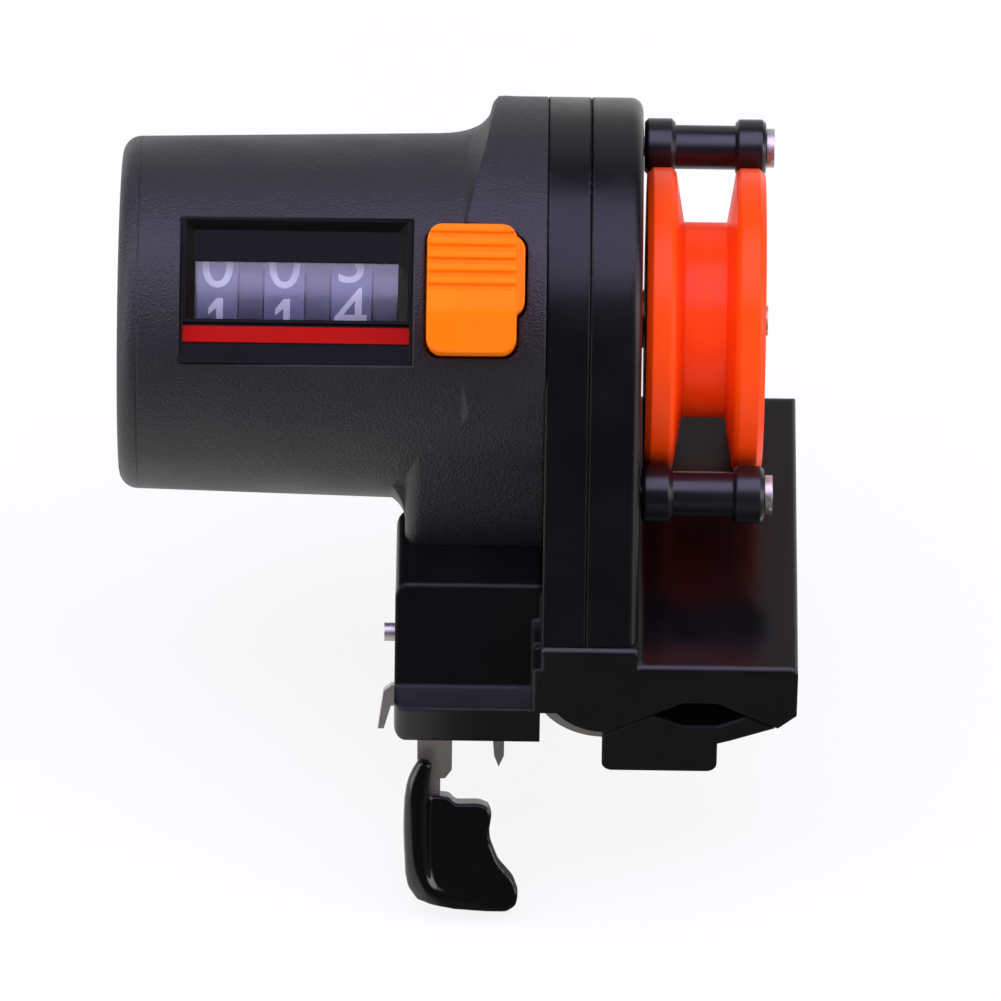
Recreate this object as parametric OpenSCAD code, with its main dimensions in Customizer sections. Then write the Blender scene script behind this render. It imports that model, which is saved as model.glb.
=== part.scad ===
// Clip-on fishing line counter.
// X runs along the wheel's axle, Y along the rod away from the angler, Z up.
// The origin lies on the rod, in the middle of the rod seat.

/* [Frame] */
// Height of the wheel's axis above the middle of the rod
axis_h = 31; // [31:0.1:34]
// Distance of the wheel's axis behind the middle of the rod seat
axis_back = 16.5; // [14:0.1:18]
// Radius of the round frame
frame_r = 29; // [28.8:0.1:32]
// Wall of the frame and cover
frame_wall = 2.4; // [2:0.1:2.6]
// Thickness of the cover beside the wheel
cover_t = 6.7; // [6.5:0.1:8]
// Thickness of the middle layer
plate_t = 5.7; // [5.5:0.1:7]
// Thickness of the barrel's flange
flange_t = 6.5; // [5:0.1:9]
// Rounding of the cover's rim beside the wheel
cover_edge = 1.6; // [0.8:0.1:2]
// Rounding of the edges along the seams
seam_edge = 0.3; // [0.1:0.1:0.5]
// Web that carries the arbors
web_t = 1.4; // [1:0.1:1.6]

/* [Barrel] */
// Outside diameter of the barrel at its end cap
barrel_d = 46; // [45:0.1:48]
// Draft of the barrel, which widens it towards the flange
barrel_draft = 1.3; // [0.5:0.1:1.5]
// Wall of the barrel
barrel_wall = 2.3; // [2:0.1:2.5]
// Length of the barrel from the flange to the end cap
barrel_len = 46.2; // [45:0.1:55]
// Radius of the sweep from the barrel up to the flange
barrel_sweep = 6.5; // [4:0.1:8]
// Height of the end cap's dome
dome_h = 2.6; // [1.5:0.1:4]
// Corner radius of the end cap's dome
dome_corner = 2.4; // [1:0.1:2.5]
// Length of the end cap's spigot
spigot_len = 3; // [2:0.1:4]

/* [Reading window] */
// Slope of the window above the horizontal
reading_angle = 52; // [45:1:58]
// Width of the bezel along the barrel
bezel_w = 30; // [29:0.1:31]
// Height of the bezel
bezel_h = 19; // [18:0.1:19.5]
// Width of the clear opening
opening_w = 26.2; // [25:0.1:26.4]
// Height of the clear opening
opening_h = 7.5; // [6:0.1:8]
// Distance of the opening above the bezel's middle
opening_up = 0.2; // [0:0.1:1]
// Height of the blank panel above the opening
blank_h = 4.1; // [3:0.1:4.4]
// Width of the sloping rim round the panel
rim_slope = 1.1; // [0.5:0.1:1.2]
// Depth of the window's floor below the barrel
window_depth = 3.3; // [3:0.1:3.6]
// Thickness of the lens
lens_t = 1; // [0.6:0.1:1.2]
// Height of the red line
index_h = 2.1; // [1:0.1:2.4]

/* [Drums] */
// Diameter of a number drum
drum_d = 22.4; // [21:0.1:22.6]
// Width of the numbered band
band_w = 5.2; // [4.5:0.1:5.6]
// Distance from one drum to the next
drum_pitch = 8.65; // [8.5:0.05:9]
// Diameter of the drum shaft
drum_shaft_d = 2.2; // [1.8:0.1:2.4]

/* [Gears] */
// Module of the reduction gears
gear_module = 0.5; // [0.48:0.01:0.5]
// Face width of a reduction gear
gear_w = 1.6; // [1.2:0.1:1.8]
// Distance from one gear level to the next
level_pitch = 2.6; // [2.5:0.1:2.8]
// Play between meshing teeth
backlash = 0.2; // [0.16:0.01:0.24]
// Diameter of a gear arbor
arbor_d = 1.8; // [1.4:0.1:1.8]

/* [Line wheel] */
// Diameter of the wheel
wheel_d = 39.6; // [38:0.1:40]
// Width of the wheel
wheel_w = 15.4; // [14.5:0.1:16]
// Diameter at the bottom of the groove, 80 mm of line a turn
groove_d = 25.46; // [24:0.01:27]
// Width of the groove at its bottom
groove_w = 5.6; // [4.8:0.1:6]
// Width of a rim at its edge
rim_w = 3.8; // [3.2:0.1:4]
// Distance of the wheel's middle to the right of the rod
wheel_x = 0; // [-1:0.1:1]
// Gap between the wheel and the cover
wheel_gap = 0.6; // [0.5:0.05:1.5]
// Diameter of the wheel's shaft
wheel_shaft_d = 4; // [3.6:0.1:5]

/* [Line rollers] */
// Diameter of a roller's collars
roller_d = 7.5; // [7:0.1:8]
// Diameter of a roller's waist
waist_d = 5.8; // [5:0.1:6.4]
// Length of a roller
roller_len = 15.9; // [14:0.1:18]
// Length of a roller's collar
collar_len = 4; // [3:0.1:5]
// Gap between a roller and the wheel
roller_gap = 0.65; // [0.3:0.05:1]
// Slope of the line through both rollers
roller_angle = 25; // [20:1:30]
// Diameter of a roller's screw
roller_screw_d = 2.6; // [2:0.1:3]

/* [Reset button] */
// Width of the button along the barrel
button_w = 11.6; // [10:0.1:12]
// Height of the button
button_h = 16.4; // [15:0.1:16.6]
// Distance that the button stands above the barrel
button_proud = 4; // [3:0.1:5]
// Travel of the button
button_travel = 2.5; // [1:0.1:2.6]

/* [Clamp base] */
// Width of the base from its right side to its rounded left corner
base_w = 32.4; // [32:0.1:34]
// Length of the base along the rod
base_len = 51; // [49:0.1:56]
// Height of the base's top above the rod
base_top = 8.5; // [8.2:0.1:9]
// Height of the raised seat under the frame above the rod
seat_top = 11.5; // [10:0.1:12]
// Rounding of the base's edges
base_edge = 0.9; // [0.5:0.1:1.2]
// Half width of the flat at the top of the rod groove
groove_flat = 2.2; // [1.8:0.1:2.6]
// Height of that flat above the middle of the rod
groove_top = 2.4; // [2.3:0.1:3]
// Slope of the rod groove's sides
groove_slope = 29.4; // [26:0.1:32]
// Width of the lever block
block_w = 19; // [18.6:0.1:20]
// Height of the lever block's top above the rod
block_top = 12.5; // [12:0.1:13]
// Wall of the lever block
block_wall = 2; // [1.6:0.1:2.2]
// Rounding of the lever block's left edges
block_edge = 1.5; // [0.8:0.1:2]

/* [Clamp] */
// Thickness of the steel strip
strip_t = 1.4; // [1:0.1:1.6]
// Width of the steel strip along the rod
strip_w = 13; // [10:0.1:14]
// Radius of the strip's bend at its middle
strip_bend = 8.7; // [8.6:0.1:9]
// Diameter of the hinge pin
pivot_d = 3; // [2.4:0.1:3.2]
// Slope of the lever below the horizontal
lever_slope = 60; // [56:1:66]
// Thickness of the lever plate
lever_t = 1.5; // [1:0.1:1.8]
// Thickness of the dipped grip over the lever plate
grip_skin = 0.9; // [0.6:0.1:1.2]
// Length of the jaw along the rod
jaw_len = 50.6; // [40:0.1:50.8]
// Gap between the closed jaw and the groove
jaw_gap = 0.4; // [0.3:0.05:0.6]

/* [Fits] */
// Radial clearance of a turning shaft
running = 0.05; // [0.02:0.01:0.08]
// Clearance between parts that are fixed together
snug = 0.03; // [0.01:0.01:0.05]
// Clearance beside a moving part
free = 0.35; // [0.3:0.05:0.5]

/* [Hidden] */

$fn = 64;
black = "#1c1c1f";
gloss_black = "#111113";
orange = "#ff7a14";
steel = "#c9ccd0";
nylon = "#e8e4d8";
brass = "#c2a052";

// Places along X
cover_face = wheel_x - wheel_w / 2 - wheel_gap;
cover_back = cover_face - cover_t;
plate_back = cover_back - plate_t;
flange_back = plate_back - flange_t;
barrel_end = flange_back - barrel_len;
level_1 = cover_face - frame_wall - free;
level_2 = level_1 - level_pitch;
level_3 = level_2 - level_pitch;
web_face = plate_back + web_t;

// Radii of the barrel
barrel_r = barrel_d / 2;
bore_r = barrel_r - barrel_wall;
root_r = radius_at(flange_back);

// The frame's round lies behind the axle, flush with the barrel in front
front_sink = 0.3;
sweep_sink = 0.5;
frame_shift = frame_r - root_r + front_sink;
frame_at = frame_shift * [cos(45), -sin(45)];

// Button, measured from the axis along the window's normal
button_x = flange_back - 3.1;
button_step = 1;
button_top = root_r + button_proud;
button_lip_z = sqrt(pow(bore_r, 2) - pow(button_h / 2 + 0.7, 2)) - free;
button_lip_t = 1.4;
button_lip = 1.2;
shelf_t = 1.4;
button_spring_d = 5;
button_wire = 0.6;
button_curls = 6;
button_spring_len = button_travel + button_curls * button_wire;
shelf_z = button_lip_z - button_lip_t - button_spring_len - shelf_t;
button_step_h = 10.5;
button_corner = 2;

// Window, measured in the same way
bezel_floor = 1.4;
bezel_right = button_x - button_w / 2 - 1.8;
bezel_x = bezel_right - bezel_w / 2;
bezel_top = sqrt(pow(radius_at(bezel_x), 2) - pow(bezel_h / 2, 2));
bezel_z = radius_at(bezel_x) - window_depth - bezel_floor;
bezel_rim = 0.7;
land_rim = 0.35;
panel_z = bezel_z + bezel_floor;
panel_low = opening_up - opening_h / 2 - 0.3;
panel_high = opening_up + opening_h / 2 + blank_h;
index_z = bezel_top - 0.5;
drum_offset = bezel_z - free - drum_d / 2;

// Drums: the units drum is the right-hand one
ring_w = 1.6;
driver_w = 1.2;
drum_r = drum_d / 2;
drum_mid = bezel_x - 1.6;
drum_left = [for (i = [0:2]) drum_mid + (i - 1) * drum_pitch - band_w / 2 - driver_w];
ring_teeth = 20;
transfer_teeth = 8;
transfer_module = 0.88;
transfer_centre = transfer_module * (ring_teeth + transfer_teeth) / 2;
pinion_w = drum_pitch - band_w - 2 * free;
pinion_shaft_d = 1.6;
shaft_seat = 2;
shaft_end = barrel_end - shaft_seat + free;

// Reduction train, in the plane across the axle
pinion_teeth = 8;
big_teeth = 40;
gear_centre = gear_module * (pinion_teeth + big_teeth) / 2;
toward_window = [-cos(reading_angle), sin(reading_angle)];
drums_at = drum_offset * toward_window;
second_at = drums_at + [gear_centre, 0];
second_half = norm(second_at) / 2;
first_side = [second_at.y, -second_at.x] / norm(second_at);
first_at = second_at / 2 + sqrt(pow(gear_centre, 2) - pow(second_half, 2)) * first_side;
pinions_at = drums_at - transfer_centre * toward_window;
first_phase = mesh_phase([0, 0], first_at, pinion_teeth, 0, big_teeth);
second_phase = mesh_phase(first_at, second_at, pinion_teeth, first_phase, big_teeth);
units_phase = mesh_phase(second_at, drums_at, pinion_teeth, second_phase, big_teeth);
transfer_phase = mesh_phase(drums_at, pinions_at, ring_teeth, 0, transfer_teeth);

// Rollers and frame screws, in the same plane
roller_at_r = wheel_d / 2 + roller_d / 2 + roller_gap;
roller_at = [for (side = [1, -1]) side * roller_at_r * [cos(roller_angle), sin(roller_angle)]];
roller_x = cover_face + 0.3;
boss_r = 2.3;
foot_front = -base_len / 2 - axis_back + base_edge;
foot_z = seat_top - axis_h;
foot_reach = [foot_front, foot_z] - frame_at;
foot_len = norm(foot_reach);
foot_tangent = atan2(foot_reach.y, foot_reach.x) + 360 - acos(frame_r / foot_len);
screw_d = 2.2;
screw_head_d = 4.2;
screw_r = frame_r - frame_wall - screw_d / 2 - 0.3;
screw_angles = [72, 20, -25];
screw_at = concat(
    [for (a = screw_angles) frame_at + screw_r * [cos(a), sin(a)]],
    [[foot_front + 7.5, foot_z + 4.2]]
);
screw_len = cover_t + plate_t + flange_t - 2;
foot_screw_len = cover_t + plate_t - 1.5;

// Base and clamp, in the rod's frame
base_right = 12.6;
base_corner_x = base_right - base_w;
groove_end = -12.2;
corner_r = groove_end - base_corner_x;
corner_at = [groove_end, groove_height(groove_end) + corner_r];
base_bevel = 2.4;
seat_fillet = 1.2;
block_right = plate_back - snug;
block_left = block_right - block_w;
block_front = -base_len / 2;
block_back = -1;
block_bottom = -5.2;
skirt_left = block_left + 1.1;
skirt_front = radius_at(skirt_left) - 0.05;
skirt_edge = 2;
skirt_sweep = 3.6;
lip_top = 0.5;
lip_depth = 4.3;
top_front = block_front + 11;
bridge_len = block_back - block_front - lip_depth;
front_lean = (top_front - block_front - lip_depth) / (block_top - lip_top);
pivot_at = [block_right - 9, corner_at.y];
hub_r = 3.4;
pin_front = block_front + lip_depth + (pivot_at.y + pivot_d / 2 - lip_top) * front_lean + 0.6;
hub_lean = (pivot_at.y + hub_r - lip_top) * front_lean;
hub_front = block_front + lip_depth + hub_lean + 1.15 * block_wall + free;
arm_front = hub_front + lever_t + snug;
strip_step = lip_top - 2 * free;
base_screw_x = (plate_back + cover_back) / 2;
base_screw_y = [-8.5, -3.5];
base_screw_z = 3;
anchor_r = 1.2;
anchor_at = [block_front + 9.3, 5.4];
notch_top = 3.6;
strip_front = block_front + 0.9;
leg_z = corner_at.y - strip_bend;
leg_end = 3.7;
jaw_left = groove_end - 0.4;
jaw_right = 9.8;
tab_right = 2.4;
tab_bottom = -10.5;
tab_len = strip_w + 2.4;
jaw_front = -jaw_len / 2;
jaw_hollow = -2.3;
lever_x = pivot_at.x - 5.5;
lever_y = hub_front + lever_t / 2;
lever_knee = -6;
neck_w = 3.2;
clamp_wire = 1.1;
clamp_curls = 3;
clamp_coil_r = pivot_d / 2 + clamp_wire / 2 + 0.4;

// Height of the rod groove's side at a distance from its middle
function groove_height(x) = groove_top - (abs(x) - groove_flat) * tan(groove_slope);

// Radius of the tapered barrel at a place along X
function radius_at(x) = barrel_r + (x - barrel_end) * tan(barrel_draft);

// Turn that puts the second gear's gap on the first gear's tooth
function mesh_phase(from, to, from_teeth, from_phase, to_teeth) =
    let (line = atan2(to.y - from.y, to.x - from.x))
    let (part = (line - from_phase) * from_teeth / 360)
    line + 180 - (0.5 - part) * 360 / to_teeth;

// Moves what follows to the wheel's axis
module at_axis() {
    translate([0, axis_back, axis_h]) children();
}

// Extrudes an outline in Y and Z along X
module along_x(from, to) {
    translate([from, 0, 0]) rotate([90, 0, 90]) linear_extrude(to - from) children();
}

// Extrudes an outline in X and Z along Y
module along_y(from, to) {
    translate([0, to, 0]) rotate([90, 0, 0]) linear_extrude(to - from) children();
}

// Round bar along X at a place in Y and Z
module bar_x(from, to, r, at = [0, 0]) {
    translate([from, at.x, at.y]) rotate([0, 90, 0]) cylinder(h = to - from, r = r);
}

// Turns an outline of radius and X about the axle
module spun_x() {
    rotate([0, 90, 0]) rotate_extrude() children();
}

// Puts what follows on the window's normal
module at_reading(x) {
    translate([x, 0, 0]) rotate([90 - reading_angle, 0, 0]) children();
}

// Box centred in X and Y between two heights
module slab(w, h, from, to) {
    translate([-w / 2, -h / 2, from]) cube([w, h, to - from]);
}

// Slab with round corners
module round_slab(w, h, from, to, r) {
    translate([0, 0, from]) linear_extrude(to - from) {
        square([w - 2 * r, h], center = true);
        square([w, h - 2 * r], center = true);
        for (x = [-1, 1], y = [-1, 1]) {
            translate([x * (w / 2 - r), y * (h / 2 - r)]) circle(r);
        }
    }
}

// Outline of a spur gear with one tooth on the first axis
module gear_outline(teeth, size) {
    pitch_r = size * teeth / 2;
    half = (PI * size - 2 * backlash) / 4;
    tip = half - size * 0.9 * tan(20);
    root = teeth < 12 ? half * 0.75 : half + size * 0.9 * tan(20);
    polygon([
        for (i = [0:teeth - 1])
            for (side = [[-1, 0], [-1, 1], [1, 1], [1, 0]])
                let (r = side.y == 1 ? pitch_r + 0.9 * size : pitch_r - 1.2 * size)
                let (w = side.y == 1 ? tip : root)
                let (a = 360 * i / teeth + side.x * w / r * 180 / PI)
                r * [cos(a), sin(a)]
    ]);
}

// Coil of round wire along Z as one closed tube
module coil(r, wire, curls, height) {
    steps = curls * 8;
    sides = 6;
    rise = height - wire;
    points = [
        for (i = [0:steps])
            for (j = [0:sides - 1])
                let (turn = 45 * i)
                let (side = 360 * j / sides)
                let (out = r + wire / 2 * cos(side))
                [out * cos(turn), out * sin(turn), wire / 2 + rise * i / steps + wire / 2 * sin(side)]
    ];
    ends = [[for (j = [0:sides - 1]) j], [for (j = [sides - 1:-1:0]) steps * sides + j]];
    walls = [
        for (i = [0:steps - 1])
            for (j = [0:sides - 1])
                for (half = [0, 1])
                    let (a = i * sides + j)
                    let (b = i * sides + (j + 1) % sides)
                    half == 0 ? [a, a + sides, b + sides] : [a, b + sides, b]
    ];
    echo(least_gap = rise / curls - wire);
    polyhedron(points, concat(ends, walls));
}

// Rim of a frame layer as radius and X, with round edges
module rim_outline(from, to, low, high) {
    translate([0, from]) square([frame_r - low, to - from - high]);
    translate([0, from + low]) square([frame_r - high, to - from - low]);
    translate([0, from + low]) square([frame_r, to - from - low - high]);
    translate([frame_r - low, from + low]) circle(low);
    translate([frame_r - high, to - high]) circle(high);
}

// Round layer of the frame with the foot that flares to the front of the base
module frame_layer(from, to, low, high) {
    intersection() {
        translate([0, frame_at.x, frame_at.y]) {
            spun_x() rim_outline(from, to, low, high);
            rotate([foot_tangent, 0, 0]) linear_extrude(foot_len) {
                mirror([1, -1]) rim_outline(from, to, low, high);
            }
        }
        translate([from - 1, -4 * frame_r, foot_z]) cube([to - from + 2, 8 * frame_r, 4 * frame_r]);
    }
}

// Hollow of the frame, with a floor over the base
module hollow_outline() {
    intersection() {
        translate(frame_at) circle(frame_r - frame_wall, $fn = 96);
        translate([-2 * frame_r, foot_z + frame_wall]) square([4 * frame_r, 3 * frame_r]);
    }
}

// Holes for the frame's screws
module screw_holes(from, to, r) {
    for (at = screw_at) bar_x(from, to, r, at);
}

// Frame layers and barrel

// Outline of radius and X that sweeps out from inside the barrel's skin
module sweep_outline(to, r, start_r) {
    difference() {
        translate([0, to - r]) square([start_r + r, r]);
        translate([start_r + r, to - r]) circle(r);
    }
}

// Flange behind the axle, cut flush with the skirt in front
module flange() {
    difference() {
        union() {
            bar_x(flange_back, plate_back, frame_r, frame_at);
            intersection() {
                spun_x() sweep_outline(flange_back, barrel_sweep, root_r - sweep_sink);
                bar_x(barrel_end, plate_back, frame_r - snug, frame_at);
            }
        }
        translate([barrel_end, -2 * frame_r - skirt_front, -2 * frame_r]) {
            cube([barrel_len + flange_t + 1, 2 * frame_r, 4 * frame_r]);
        }
        translate([barrel_end, -4 * frame_r, foot_z - 4 * frame_r]) {
            cube([barrel_len + flange_t + 1, 8 * frame_r, 4 * frame_r]);
        }
    }
}

// Wall that runs down from the barrel's front to the lever block
module skirt() {
    floor_z = block_top - axis_h;
    depth = skirt_front + block_back - axis_back;
    translate([0, 0, floor_z]) linear_extrude(-floor_z) {
        translate([skirt_left + skirt_edge, -skirt_front]) {
            square([plate_back - skirt_left - skirt_edge, depth]);
        }
        translate([skirt_left, skirt_edge - skirt_front]) {
            square([plate_back - skirt_left, depth - skirt_edge]);
        }
        translate([skirt_left + skirt_edge, skirt_edge - skirt_front]) circle(skirt_edge);
    }
    intersection() {
        spun_x() sweep_outline(skirt_left, skirt_sweep, radius_at(skirt_left) - sweep_sink);
        translate([barrel_end, skirt_edge - skirt_front, floor_z]) {
            cube([barrel_len, depth - skirt_edge, -floor_z]);
        }
    }
}

module barrel_skin() {
    translate([barrel_end, 0, 0]) rotate([0, 90, 0]) {
        cylinder(h = plate_back - barrel_end, r1 = barrel_r, r2 = radius_at(plate_back));
    }
    flange();
    skirt();
}

// Button's body with its wider step on the right
module button_body(gap, from, to, step_to) {
    round_slab(button_w + 2 * gap, button_h + 2 * gap, from, to, button_corner);
    translate([button_step / 2, button_h / 2 - button_step_h / 2 - 1, 0]) {
        round_slab(button_w + button_step + 2 * gap, button_step_h + 2 * gap, from, step_to, button_corner);
    }
}

module barrel_housing() {
    color(black) at_axis() difference() {
        barrel_skin();
        bar_x(barrel_end - 1, plate_back + 1, bore_r);
        at_reading(bezel_x) slab(bezel_w + 2 * snug, bezel_h + 2 * snug, bore_r / 2, 2 * barrel_r);
        at_reading(button_x) button_body(free, bore_r / 2, 2 * barrel_r, 2 * barrel_r);
        translate([block_left - 1, block_front - axis_back, block_top - axis_h + snug - frame_r]) {
            cube([plate_back - block_left + 2, block_back - block_front + snug, frame_r]);
        }
        for (i = [0:2]) bar_x(flange_back + 1.9, plate_back + 1, screw_d / 2 + snug, screw_at[i]);
    }
}

module end_cap() {
    color(black) at_axis() difference() {
        union() {
            bar_x(barrel_end, barrel_end + spigot_len, bore_r - snug);
            translate([barrel_end, 0, 0]) spun_x() mirror([0, 1]) {
                square([barrel_r - dome_corner, dome_h]);
                square([barrel_r, dome_h - dome_corner]);
                intersection() {
                    translate([barrel_r - dome_corner, dome_h - dome_corner]) circle(dome_corner);
                    square([barrel_r, dome_h]);
                }
            }
        }
        bar_x(barrel_end, barrel_end + spigot_len + 1, bore_r - barrel_wall);
        at_reading(bezel_x) slab(bezel_w + 2 * free, bezel_h + 2 * free, bore_r / 2, 2 * barrel_r);
        bar_x(shaft_end, barrel_end + 1, drum_shaft_d / 2 + running, drums_at);
        bar_x(shaft_end, barrel_end + 1, pinion_shaft_d / 2 + snug, pinions_at);
        for (a = [206, 214]) {
            rotate([a, 0, 0]) translate([barrel_end - dome_h - 1, barrel_r - 3.4, -0.5]) cube([2, 2.2, 1]);
        }
    }
}

module gear_plate() {
    color(black) at_axis() {
        difference() {
            frame_layer(plate_back + snug, cover_back - snug, seam_edge, seam_edge);
            along_x(web_face, cover_back + 1) hollow_outline();
            for (y = base_screw_y) {
                translate([base_screw_x, y - axis_back, foot_z - 1]) {
                    cylinder(h = frame_wall + 2, r = screw_d / 2 + snug);
                }
            }
            bar_x(plate_back - 1, web_face + 1, drum_shaft_d / 2 + running, drums_at);
            bar_x(plate_back - 1, web_face + 1, pinion_shaft_d / 2 + snug, pinions_at);
            for (at = [first_at, second_at]) bar_x(plate_back - 1, web_face + 1, arbor_d / 2 + snug, at);
            for (i = [0:2]) bar_x(plate_back - 1, cover_back + 1, screw_d / 2 + snug, screw_at[i]);
            bar_x(plate_back + 1.4, cover_back + 1, screw_d / 2 + snug, screw_at[3]);
        }
        for (at = [for (i = [0:2]) screw_at[i]]) {
            difference() {
                bar_x(web_face, cover_back - snug, screw_d / 2 + 1, at);
                bar_x(web_face - 1, cover_back + 1, screw_d / 2 + snug, at);
            }
        }
        at_reading(button_x) slab(button_spring_d + 2, button_spring_d + 2, shelf_z, shelf_z + shelf_t);
        at_reading((button_x + plate_back) / 2) {
            slab(plate_back - button_x + web_t, button_spring_d + 2, shelf_z, shelf_z + shelf_t);
        }
    }
}

module wheel_side_cover() {
    color(black) at_axis() difference() {
        union() {
            difference() {
                frame_layer(cover_back, cover_face, seam_edge, cover_edge);
                along_x(cover_back - 1, cover_face - frame_wall) hollow_outline();
            }
            for (at = roller_at) bar_x(cover_face - frame_wall - 2.4, cover_face + 0.2, boss_r, at);
            for (i = [0:2]) bar_x(cover_back, cover_face - 1, screw_d / 2 + 1, screw_at[i]);
        }
        bar_x(cover_back, cover_face + 1, wheel_shaft_d / 2 + 1 + snug);
        for (at = roller_at) {
            bar_x(cover_face - frame_wall - 2, cover_face + 1, roller_screw_d / 2 + snug, at);
        }
        for (at = [first_at, second_at]) {
            bar_x(cover_back, cover_face - frame_wall + 1, arbor_d / 2 + snug, at);
        }
        screw_holes(cover_back - 1, cover_face + 1, screw_d / 2 + snug);
        screw_holes(cover_face - 1.6, cover_face + 1, screw_head_d / 2 + snug);
    }
}

// Reading window

module window_bezel() {
    panel_mid = (panel_low + panel_high) / 2;
    panel_h = panel_high - panel_low;
    panel_w = bezel_w - 2 * bezel_rim - 2 * rim_slope;
    land_h = bezel_h / 2 + panel_low - 2 * land_rim;
    color(gloss_black) at_axis() at_reading(bezel_x) difference() {
        slab(bezel_w, bezel_h, bezel_z, bezel_top);
        hull() {
            translate([0, panel_mid, 0]) slab(panel_w, panel_h, panel_z, panel_z + 0.01);
            translate([0, panel_mid + rim_slope / 2, 0]) {
                slab(panel_w + 2 * rim_slope, panel_h + rim_slope, bezel_top, bezel_top + 0.01);
            }
        }
        translate([0, land_rim - bezel_h / 2 + land_h / 2, 0]) {
            slab(bezel_w - 2 * land_rim, land_h, index_z, bezel_top + 1);
        }
        translate([0, opening_up, 0]) slab(opening_w, opening_h, bezel_z - 1, bezel_top);
    }
}

module window_lens() {
    color("white", 0.3) at_axis() at_reading(bezel_x) translate([0, opening_up, 0]) {
        slab(opening_w - 2 * snug, opening_h - 2 * snug, bezel_z + 0.2, bezel_z + 0.2 + lens_t);
    }
}

module index_strip() {
    strip_y = panel_low - land_rim - index_h / 2 - 0.4;
    color("red") at_axis() at_reading(bezel_x) translate([0, strip_y, 0]) {
        slab(bezel_w - 2 * land_rim - 2 * snug, index_h, index_z, index_z + 0.3);
    }
}

// Number drums and their transfer

module drum(i, has_ring, has_driver, bore_gap) {
    left = drum_left[i];
    band = left + driver_w;
    difference() {
        union() {
            along_x(band, band + band_w) circle(drum_r, $fn = 80);
            if (has_ring) {
                along_x(band + band_w, band + band_w + ring_w) gear_outline(ring_teeth, transfer_module);
            }
            if (has_driver) {
                bar_x(left, band, transfer_module * ring_teeth / 2 - 2);
                along_x(left, band) for (a = [-9, 9]) {
                    rotate(90 + a) translate([4, -0.5]) square([transfer_module * ring_teeth / 2 - 3.6, 1]);
                }
            }
        }
        bar_x(left - 1, band + band_w + ring_w + 1, drum_shaft_d / 2 + bore_gap);
        difference() {
            bar_x(band - 1, band + 1.2, drum_r - 1.4);
            bar_x(left - 1, band + 1.3, transfer_module * ring_teeth / 2);
        }
    }
}

module on_drum_shaft() {
    at_axis() translate([0, drums_at.x, drums_at.y]) children();
}

module hundreds_drum() {
    color(black) on_drum_shaft() drum(0, true, false, running);
}

module tens_drum() {
    color(black) on_drum_shaft() drum(1, true, true, running);
}

module units_drum() {
    color(black) on_drum_shaft() drum(2, false, true, snug);
}

module drum_shaft() {
    color(steel) on_drum_shaft() bar_x(shaft_end + free, level_3 + 0.4, drum_shaft_d / 2);
}

module units_gear() {
    color(nylon) on_drum_shaft() difference() {
        along_x(level_3 - gear_w, level_3) rotate(units_phase) gear_outline(big_teeth, gear_module);
        bar_x(level_3 - gear_w - 1, level_3 + 1, drum_shaft_d / 2 + snug);
    }
}

module transfer_pinion(i) {
    left = drum_left[i] + driver_w + band_w + free;
    at_axis() translate([0, pinions_at.x, pinions_at.y]) difference() {
        along_x(left, left + pinion_w) rotate(transfer_phase) gear_outline(transfer_teeth, transfer_module);
        bar_x(left - 1, left + pinion_w + 1, pinion_shaft_d / 2 + running);
    }
}

module hundreds_pinion() {
    color(nylon) transfer_pinion(0);
}

module tens_pinion() {
    color(nylon) transfer_pinion(1);
}

module pinion_shaft() {
    color(steel) at_axis() bar_x(shaft_end + free, web_face - 0.2, pinion_shaft_d / 2, pinions_at);
}

// Reduction train

module compound(at, phase, big_level, small_level) {
    at_axis() translate([0, at.x, at.y]) difference() {
        union() {
            along_x(big_level - gear_w, big_level) rotate(phase) gear_outline(big_teeth, gear_module);
            along_x(small_level - gear_w, big_level) rotate(phase) gear_outline(pinion_teeth, gear_module);
        }
        bar_x(small_level - gear_w - 1, big_level + 1, arbor_d / 2 + running);
    }
}

module first_gear() {
    color(nylon) compound(first_at, first_phase, level_1, level_2);
}

module second_gear() {
    color(nylon) compound(second_at, second_phase, level_2, level_3);
}

module arbor(at) {
    color(steel) at_axis() bar_x(plate_back + 0.2, cover_face - frame_wall + 0.8, arbor_d / 2, at);
}

module first_arbor() {
    arbor(first_at);
}

module second_arbor() {
    arbor(second_at);
}

// Line wheel

module line_wheel() {
    left = wheel_x - wheel_w / 2;
    color(orange) at_axis() difference() {
        translate([left, 0, 0]) spun_x() difference() {
            polygon([
                [wheel_shaft_d / 2 + snug, 0], [wheel_d / 2 - 0.8, 0], [wheel_d / 2, 0.8],
                [wheel_d / 2, rim_w - 0.6], [wheel_d / 2 - 0.6, rim_w],
                [groove_d / 2, (wheel_w - groove_w) / 2],
                [groove_d / 2, (wheel_w + groove_w) / 2],
                [wheel_d / 2 - 0.6, wheel_w - rim_w], [wheel_d / 2, wheel_w - rim_w + 0.6],
                [wheel_d / 2, wheel_w - 0.8], [wheel_d / 2 - 0.8, wheel_w],
                [wheel_shaft_d / 2 + snug, wheel_w]
            ]);
            translate([wheel_shaft_d / 2 + 2.2, wheel_w - 2]) square([groove_d / 2 - 5.4, 3]);
        }
    }
}

module wheel_shaft() {
    color(steel) at_axis() {
        bar_x(level_1 + 0.1, wheel_x + wheel_w / 2 - 1.5, wheel_shaft_d / 2);
        bar_x(level_1 - gear_w, level_1 + 0.1, arbor_d / 2);
    }
}

module shaft_bush() {
    color(brass) at_axis() difference() {
        union() {
            bar_x(cover_face - frame_wall, cover_face + 0.4, wheel_shaft_d / 2 + 1);
            bar_x(cover_face + 0.05, cover_face + 0.4, wheel_shaft_d / 2 + 1.8);
        }
        bar_x(cover_back, cover_face + 1, wheel_shaft_d / 2 + running);
    }
}

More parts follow.
